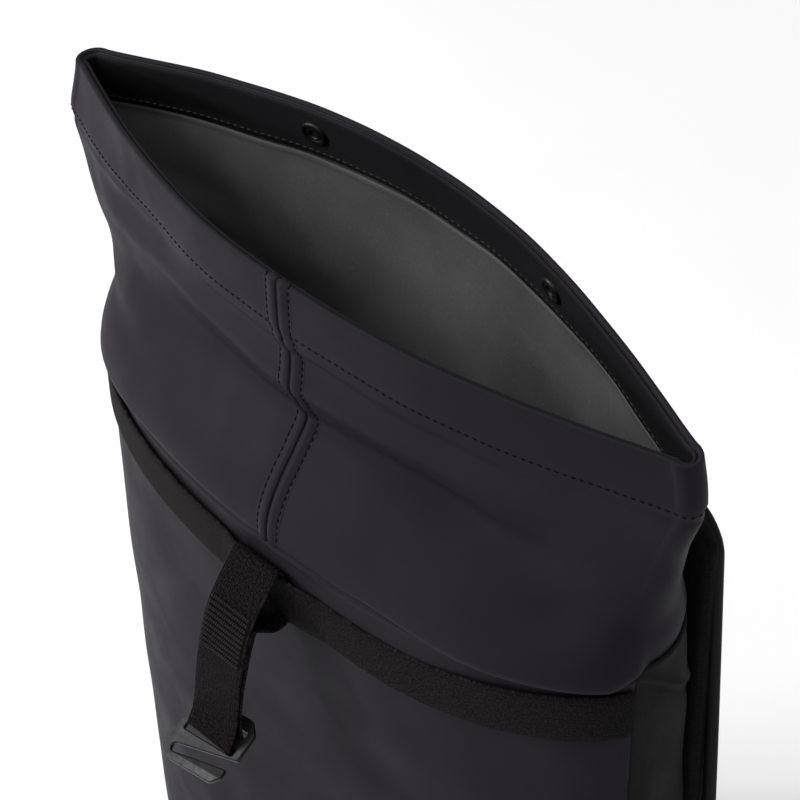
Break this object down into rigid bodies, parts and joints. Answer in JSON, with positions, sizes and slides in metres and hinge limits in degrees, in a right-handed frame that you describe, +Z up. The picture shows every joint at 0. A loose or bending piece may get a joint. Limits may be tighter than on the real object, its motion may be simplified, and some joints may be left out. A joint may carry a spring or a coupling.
{
  "type": "rolltop backpack",
  "caption": "Slim backpack standing open: coated front panel, dark gussets, padded back with shoulder straps, soft tube with a hemmed mouth, and a flat metal hook on a webbing strap.",
  "frame": {"origin": "middle of the whole bag's footprint, on the ground", "axes": "+Z up the bag, -Y out of its front, +Y out of its padded back, +X to the viewer's right facing the front"},
  "size_m": [0.3504, 0.2106, 0.528],
  "materials": {
    "coated_cloth": "coated, low sheen",
    "gusset_cloth": "matte weave",
    "facing_cloth": "matte weave",
    "lining_cloth": "matte",
    "pad_cloth": "matte mesh",
    "webbing": "woven",
    "dark_plastic": "matte",
    "dark_metal": "dark plated, satin"
  },
  "bodies": {
    "root": {"rolltop_tube": "coated_cloth", "front_seam": "coated_cloth", "front_panel": "coated_cloth", "side_gusset_left": "gusset_cloth", "side_gusset_right": "gusset_cloth", "base_panel": "gusset_cloth", "mouth_facing": "facing_cloth", "lining": "lining_cloth", "back_panel": "pad_cloth", "shoulder_strap_left": "pad_cloth", "shoulder_strap_right": "pad_cloth", "front_band": "webbing", "hook_strap": "webbing", "strap_webbing_left": "webbing", "strap_webbing_right": "webbing", "strap_tab_left": "webbing", "strap_tab_right": "webbing", "grab_handle": "webbing", "strap_adjuster_left": "dark_plastic", "strap_adjuster_right": "dark_plastic", "hook": "dark_metal", "snap_left": "dark_metal", "snap_right": "dark_metal", "snap_stud_left": "dark_metal", "snap_stud_right": "dark_metal"}
  },
  "joints": []
}
